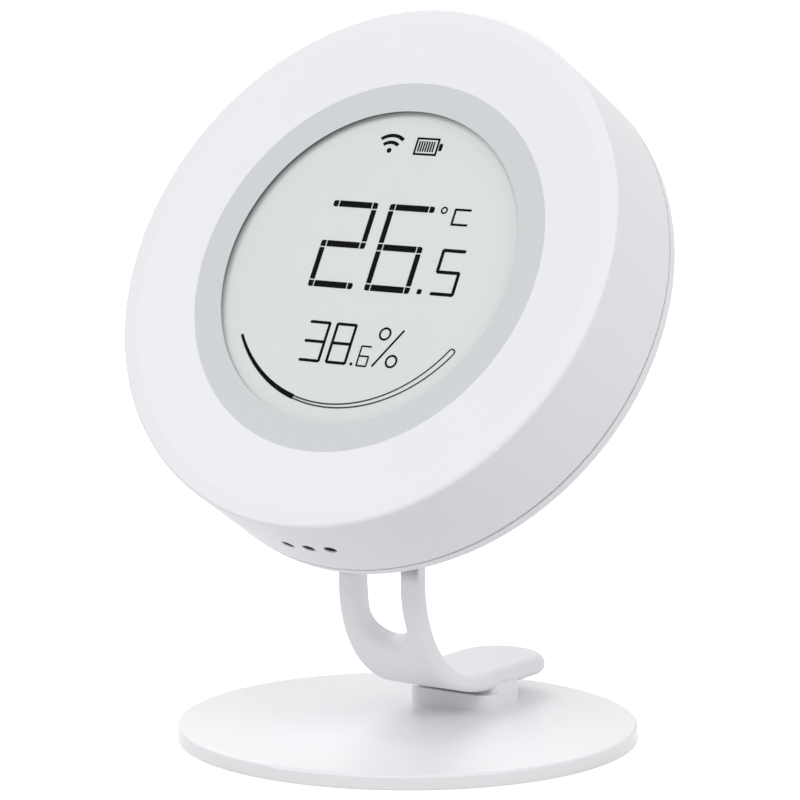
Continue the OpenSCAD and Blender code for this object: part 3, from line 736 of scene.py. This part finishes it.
def add_mesh():
    steps = 24
    bm = bmesh.new()
    rings = []
    for i in range(steps + 1):
        turn = -90 - MESH_HALF_ANGLE + 2 * MESH_HALF_ANGLE * i / steps
        section = ((MESH_R0, -1), (MESH_R1, -1), (MESH_R1, 1), (MESH_R0, 1))
        points = [(*polar(0, 0, r, turn), VENT_Z + up * MESH_HALF_H) for r, up in section]
        rings.append([bm.verts.new(p) for p in points])
    for first, last in zip(rings, rings[1:]):
        for i in range(4):
            j = (i + 1) % 4
            bm.faces.new((first[i], first[j], last[j], last[i]))
    bm.faces.new(rings[0])
    bm.faces.new(rings[-1][::-1])
    strip = finish_mesh("mesh_strip", bm, HEAD, False)
    # Each pad brings the mesh's colour up into its hole, nearly to the wall's face: besides the real mesh,
    # it is painted shade for the hole's deep inside
    mesh_and_shade_pads = []
    foot = (MESH_R0 + MESH_R1) / 2
    for i in VENT_PLACES:
        turn = Matrix.Rotation(math.radians(-90 + i * VENT_STEP), 4, "Z")
        outward = turn @ Matrix.Rotation(math.radians(90), 4, "Y")
        matrix = HEAD @ Matrix.Translation((0, 0, VENT_Z)) @ outward
        edge = arc_points(VENT_R - PAD_SOFT, PAD_TOP - PAD_SOFT, PAD_SOFT, 0, 90, 4)
        mesh_and_shade_pads.append((lathe("pad", [(0, foot), (VENT_R, foot), *edge, (0, PAD_TOP)], matrix, 32), "UNION"))
    mesh = combine(strip, mesh_and_shade_pads)
    mesh.materials.clear()
    mesh.set_sharp_from_angle(angle=math.radians(40))
    piece = place_piece("vent_screen", mesh, materials["mesh_steel"], "head")
    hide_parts("vent_mesh")


# Battery cells: a sleeve over a bare can, with a crimp and a contact at the positive end

CELL_R = 5.25
CELL_HALF_L = 22.25
CELL_Y = (7.302, 18.502)
CELL_Z = 6.85
NUB_R = 1.9
NUB_L = 1.2
SLEEVE_T = 0.12
SLEEVE_FOOT = 0.5
SHOULDER_R = 0.8
CRIMP = 0.25
NUB_SOFT = 0.3


def add_cell(name, y, turned):
    way = 90 if turned else -90
    matrix = HEAD @ Matrix.Translation((0, y, CELL_Z)) @ Matrix.Rotation(math.radians(-way), 4, "Y")
    can_r = CELL_R - SLEEVE_T
    top = CELL_HALF_L - NUB_L
    shoulder = arc_points(can_r - SHOULDER_R, top - SHOULDER_R, SHOULDER_R, 0, 90, 6)
    can = [(0, -CELL_HALF_L), (can_r - SLEEVE_FOOT, -CELL_HALF_L),
           (can_r, -CELL_HALF_L + SLEEVE_FOOT), *shoulder,
           (NUB_R + 0.5, top), (NUB_R + 0.3, top - 0.15), (NUB_R, top),
           (NUB_R, CELL_HALF_L - NUB_SOFT), (NUB_R - NUB_SOFT, CELL_HALF_L), (0, CELL_HALF_L)]
    slot = "contact_nickel"
    ends = place_piece(name + "_can", lathe(name + "_can", can, matrix, 72), materials[slot], "head")
    low = -CELL_HALF_L + SLEEVE_FOOT
    high = top - 0.7
    sleeve = [(can_r - 0.05, low), (CELL_R - 0.06, low), (CELL_R, low + 0.15), (CELL_R, high - 0.9),
              (CELL_R - CRIMP, high - 0.7), (CELL_R - CRIMP, high - 0.5), (CELL_R, high - 0.3),
              (CELL_R - 0.1, high), (can_r - 0.3, high + 0.2), (can_r - 0.3, low), (can_r - 0.05, low)]
    slot = "cell_sleeve"
    skin_mesh = lathe(name + "_sleeve", sleeve, matrix, 72)
    skin = place_piece(name + "_sleeve", skin_mesh, materials[slot], "head")
    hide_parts(name)
    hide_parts(name)


add_bracket()
add_block()
add_display()
add_mesh()
add_cell("battery_cell_lower", CELL_Y[0], True)
add_cell("battery_cell_upper", CELL_Y[1], False)


# Display artwork, drawn in the head's own millimetres on the face of the LCD

INK_T = 0.03
ART_SHIFT = (0.11, -0.06, 0)


class Drawing:
    """Flat closed outlines that become thin prints of one colour."""

    def __init__(self):
        self.outlines = []

    def outline(self, points):
        self.outlines.append([Vector((x, y)) for x, y in points])

    def box(self, x0, y0, x1, y1, round_by=0.0, corners=(True, True, True, True)):
        """Rectangle, with the corners lower left, lower right, upper right and upper left rounded."""
        points = []
        places = [(x0, y0, 180), (x1, y0, 270), (x1, y1, 0), (x0, y1, 90)]
        for (x, y, start), soft in zip(places, corners):
            if not soft or round_by == 0:
                points.append((x, y))
                continue
            cx = x + round_by if x == x0 else x - round_by
            cy = y + round_by if y == y0 else y - round_by
            points += arc_points(cx, cy, round_by, start, start + 90, 5)
        self.outline(points)

    def bar(self, x0, y0, x1, y1, width, point=0.0):
        """Straight stroke, with ends that narrow over the length point."""
        a = Vector((x0, y0))
        b = Vector((x1, y1))
        along = (b - a).normalized()
        across = Vector((-along.y, along.x)) * width / 2
        if point == 0:
            self.outline([a - across, b - across, b + across, a + across])
            return
        tip = along * point
        self.outline([a, a + tip - across, b - tip - across, b, b - tip + across, a + tip + across])

    def band(self, cx, cy, inner, outer, start, end, steps):
        """Part of a ring; inner and outer are functions of the angle."""
        angles = [start + (end - start) * i / steps for i in range(steps + 1)]
        for a, b in zip(angles, angles[1:]):
            self.outline([polar(cx, cy, inner(a), a), polar(cx, cy, outer(a), a),
                          polar(cx, cy, outer(b), b), polar(cx, cy, inner(b), b)])

    def ring(self, cx, cy, r, thick, start=0, end=360, steps=40):
        """Ring or part of one, of even thickness round its middle radius."""
        self.band(cx, cy, lambda a: r - thick / 2, lambda a: r + thick / 2, start, end, steps)

    def make(self, name, material):
        bm = bmesh.new()
        for points in self.outlines:
            low = [bm.verts.new((p.x, p.y, LCD_Z)) for p in points]
            high = [bm.verts.new((p.x, p.y, LCD_Z + INK_T)) for p in points]
            bm.faces.new(high)
            bm.faces.new(low[::-1])
            count = len(points)
            for i in range(count):
                j = (i + 1) % count
                bm.faces.new((low[i], low[j], high[j], high[i]))
        mesh = finish_mesh(name, bm, HEAD @ Matrix.Translation(ART_SHIFT), False)
        return place_piece(name, mesh, material, "head")


# Which of the seven strokes each figure shows: a top, b and c right, d foot, e and f left, g middle
STROKES = {"2": "abged", "3": "abgcd", "5": "afgcd", "6": "afgedc", "8": "abcdefg"}


def stroke_ends(x, width, top, middle, foot):
    """Both ends of each stroke of a figure."""
    right = x + width
    return {
        "a": ((x, top), (right, top)),
        "b": ((right, top), (right, middle)),
        "c": ((right, middle), (right, foot)),
        "d": ((x, foot), (right, foot)),
        "e": ((x, middle), (x, foot)),
        "f": ((x, top), (x, middle)),
        "g": ((x, middle), (right, middle)),
    }


def large_figure(drawing, figure, x):
    """Large figure: bars with a small dot of their own at each corner."""
    width, top, middle, foot = 6.58, 9.25, 3.22, -2.82
    across, upright, gap = 0.46, 0.41, 0.18
    lit = STROKES[figure]
    ends = stroke_ends(x, width, top, middle, foot)
    for key in lit:
        (x0, y0), (x1, y1) = ends[key]
        if y0 == y1:
            drawing.box(x0 + upright + gap, y0 - across, x1 - upright - gap, y0 + across, 0.06)
        else:
            drawing.box(x0 - upright, y1 + across + gap, x0 + upright, y0 - across - gap, 0.06)
    # Corners are round where no upright stroke goes on from them
    uprights = {"left": (x, "f", "e"), "right": (x + width, "b", "c")}
    for side, (cx, upper, lower) in uprights.items():
        for cy, above, below in ((top, "", upper), (middle, upper, lower), (foot, lower, "")):
            up = above == "" or above not in lit
            down = below == "" or below not in lit
            left = side == "left"
            corners = (left and down, not left and down, not left and up, left and up)
            drawing.box(cx - upright, cy - across, cx + upright, cy + across, 0.32, corners)


def small_figure(drawing, figure, x, width, rows, thick, tip):
    """Small figure of plain bars with pointed ends."""
    ends = stroke_ends(x, width, *rows)
    reach = thick * 0.3
    for key in STROKES[figure]:
        (x0, y0), (x1, y1) = ends[key]
        if y0 == y1:
            drawing.bar(x0 - reach, y0, x1 + reach, y1, thick, tip)
        else:
            drawing.bar(x0, y0 + reach, x1, y1 - reach, thick, tip)


def draw_temperature():
    drawing = Drawing()
    large_figure(drawing, "2", -8.95)
    large_figure(drawing, "6", 0.47)
    drawing.box(8.68, -3.18, 9.42, -2.44, 0.2)
    small_figure(drawing, "5", 10.95, 3.5, (3.46, 0.26, -2.95), 0.49, 0.14)
    drawing.bar(10.72, 9.52, 13.4, 9.52, 0.33)
    drawing.bar(10.85, 9.52, 10.85, 7.3, 0.33)
    drawing.bar(10.72, 7.3, 13.4, 7.3, 0.33)
    drawing.ring(9.04, 9.29, 0.43, 0.24)
    drawing.make("lcd_temperature", lcd_ink)


def draw_humidity():
    drawing = Drawing()
    rows = (-8.46, -11.28, -14.11)
    small_figure(drawing, "3", -6.85, 3.2, rows, 0.42, 0.14)
    small_figure(drawing, "8", -2.35, 3.08, rows, 0.42, 0.14)
    drawing.box(1.54, -14.3, 1.98, -13.86, 0.15)
    small_figure(drawing, "6", 2.65, 1.57, (-11.36, -12.8, -14.23), 0.24, 0.08)
    drawing.ring(5.75, -9.32, 0.83, 0.3)
    drawing.ring(8.05, -13.18, 0.83, 0.3)
    drawing.bar(8.65, -8.58, 5.18, -14.15, 0.3)
    drawing.make("lcd_humidity", lcd_ink)


def draw_signs():
    """Wireless sign, and the battery sign with its level bars."""
    drawing = Drawing()
    x, y = -3.01, 16.88
    drawing.ring(x, y, 3.06, 0.52, 53, 127, 24)
    drawing.ring(x, y, 2.02, 0.5, 53, 127, 18)
    drawing.outline(arc_points(x, 17.67, 0.38, 0, 345, 23))
    left, right, low, high, line = 1.05, 4.87, 17.22, 19.88, 0.3
    drawing.box(right + 0.12, 18.0, right + 0.68, 19.1, 0.2)
    drawing.box(left, low, right, low + line)
    drawing.box(left, high - line, right, high)
    drawing.box(left, low + line, left + line, high - line)
    drawing.box(right - line, low + line, right, high - line)
    bars, pitch, bar_w, margin = 7, 0.4, 0.24, 0.54
    for i in range(bars):
        bar_x = left + 0.52 + i * pitch
        drawing.box(bar_x, low + margin, bar_x + bar_w, high - margin)
    drawing.make("lcd_signs", lcd_ink)


def draw_gauge():
    """Arc that widens to the right, filled up to the reading."""
    cx, cy, radius = -0.3, 0.65, 21.0
    start, level, end = 214.5, 254.5, 326.0
    line = 0.22
    fuller = 0.08

    def half(angle):
        return 0.13 + 0.004 * (angle - start)

    filled = Drawing()
    filled.band(
        cx, cy, lambda a: radius - half(a) - fuller, lambda a: radius + half(a) + fuller, start, level, 60
    )
    filled.make("lcd_gauge_level", lcd_ink)
    empty = Drawing()
    empty.band(cx, cy, lambda a: radius + half(a) - line, lambda a: radius + half(a), level, end, 90)
    empty.band(cx, cy, lambda a: radius - half(a), lambda a: radius - half(a) + line, level, end, 90)
    cap_x, cap_y = polar(cx, cy, radius, end)
    empty.ring(cap_x, cap_y, half(end) - line / 2, line, end, end + 180, 24)
    empty.make("lcd_gauge_scale", lcd_pale_ink)


draw_temperature()
draw_humidity()
draw_signs()
draw_gauge()


# Camera at the photograph's viewing angle

CAMERA_AZIMUTH = 34.73
CAMERA_ELEVATION = 8.4419
CAMERA_PLACE = (0.315958, -0.457708, 0.130100)
CAMERA_LENS = 182.585


def add_camera():
    a = math.radians(CAMERA_AZIMUTH)
    e = math.radians(CAMERA_ELEVATION)
    back = Vector((math.sin(a) * math.cos(e), -math.cos(a) * math.cos(e), math.sin(e)))
    data = bpy.data.cameras.new("camera")
    data.lens = CAMERA_LENS
    data.sensor_width = 36.0
    data.clip_start = 0.01
    data.clip_end = 20.0
    camera = bpy.data.objects.new("camera", data)
    bpy.context.scene.collection.objects.link(camera)
    camera.location = CAMERA_PLACE
    camera.rotation_mode = "QUATERNION"
    camera.rotation_quaternion = (-back).to_track_quat("-Z", "Y")
    bpy.context.scene.camera = camera


# Studio: white floor, soft world light and four large lamps

FLOOR_TONE = 0.8
FLOOR_BOUNCE = 0.7
FLOOR_GLOW = 0.53


def camera_share(tree):
    """1 for what the camera sees straight, in a mirror or through glass, else 0."""
    path = tree.nodes.new("ShaderNodeLightPath")
    share = path.outputs["Is Camera Ray"]
    for kind in ("Is Glossy Ray", "Is Transmission Ray"):
        node = tree.nodes.new("ShaderNodeMath")
        node.operation = "MAXIMUM"
        tree.links.new(share, node.inputs[0])
        tree.links.new(path.outputs[kind], node.inputs[1])
        share = node.outputs[0]
    return share


def add_floor():
    mesh = bpy.data.meshes.new("floor")
    bm = bmesh.new()
    bmesh.ops.create_grid(bm, x_segments=1, y_segments=1, size=6.0)
    bm.to_mesh(mesh)
    bm.free()
    floor = bpy.data.objects.new("floor", mesh)
    bpy.context.scene.collection.objects.link(floor)
    material = bpy.data.materials.new("floor_white")
    material.use_nodes = True
    tree = material.node_tree
    tree.nodes.clear()
    out = tree.nodes.new("ShaderNodeOutputMaterial")
    paint = tree.nodes.new("ShaderNodeBsdfDiffuse")
    shade = tree.nodes.new("ShaderNodeMapRange")
    shade.inputs["To Min"].default_value = FLOOR_BOUNCE
    shade.inputs["To Max"].default_value = FLOOR_TONE
    tree.links.new(camera_share(tree), shade.inputs["Value"])
    tree.links.new(shade.outputs["Result"], paint.inputs["Color"])
    glow = tree.nodes.new("ShaderNodeEmission")
    share = tree.nodes.new("ShaderNodeMath")
    share.operation = "MULTIPLY"
    share.inputs[1].default_value = FLOOR_GLOW
    tree.links.new(camera_share(tree), share.inputs[0])
    tree.links.new(share.outputs[0], glow.inputs["Strength"])
    both = tree.nodes.new("ShaderNodeAddShader")
    tree.links.new(paint.outputs[0], both.inputs[0])
    tree.links.new(glow.outputs[0], both.inputs[1])
    tree.links.new(both.outputs[0], out.inputs["Surface"])
    mesh.materials.append(material)


def add_world(strength):
    world = bpy.data.worlds.new("studio")
    bpy.context.scene.world = world
    world.use_nodes = True
    tree = world.node_tree
    light = tree.nodes["Background"]
    light.inputs["Color"].default_value = (1.0, 1.0, 1.0, 1.0)
    mix = tree.nodes.new("ShaderNodeMapRange")
    mix.inputs["To Min"].default_value = strength
    mix.inputs["To Max"].default_value = 1.0
    tree.links.new(camera_share(tree), mix.inputs["Value"])
    tree.links.new(mix.outputs["Result"], light.inputs["Strength"])


def add_lamp(name, place, size, watts):
    """Round soft lamp that points at the object."""
    data = bpy.data.lights.new(name, "AREA")
    data.shape = "DISK"
    data.size = size
    data.energy = watts
    lamp = bpy.data.objects.new(name, data)
    bpy.context.scene.collection.objects.link(lamp)
    lamp.location = place
    lamp.rotation_mode = "QUATERNION"
    lamp.rotation_quaternion = (Vector((0, 0, 0.05)) - Vector(place)).to_track_quat("-Z", "Y")


# Name, place in metres and watts of each lamp
WORLD_STRENGTH = 0.596
LAMP_SIZE = 0.7
LAMPS = (
    ("front_left", (-0.55, -0.8, 0.95), 2.3),
    ("front_right", (0.5, -0.7, 1.0), 3.6),
    ("right", (1.0, 0.0, 0.95), 2.05),
    ("back_left", (-0.7, 0.6, 0.9), 3.57),
)

add_camera()
add_floor()
add_world(WORLD_STRENGTH)
for lamp_name, lamp_place, lamp_watts in LAMPS:
    add_lamp(lamp_name, lamp_place, LAMP_SIZE, lamp_watts)

bpy.context.scene.view_settings.view_transform = "Standard"
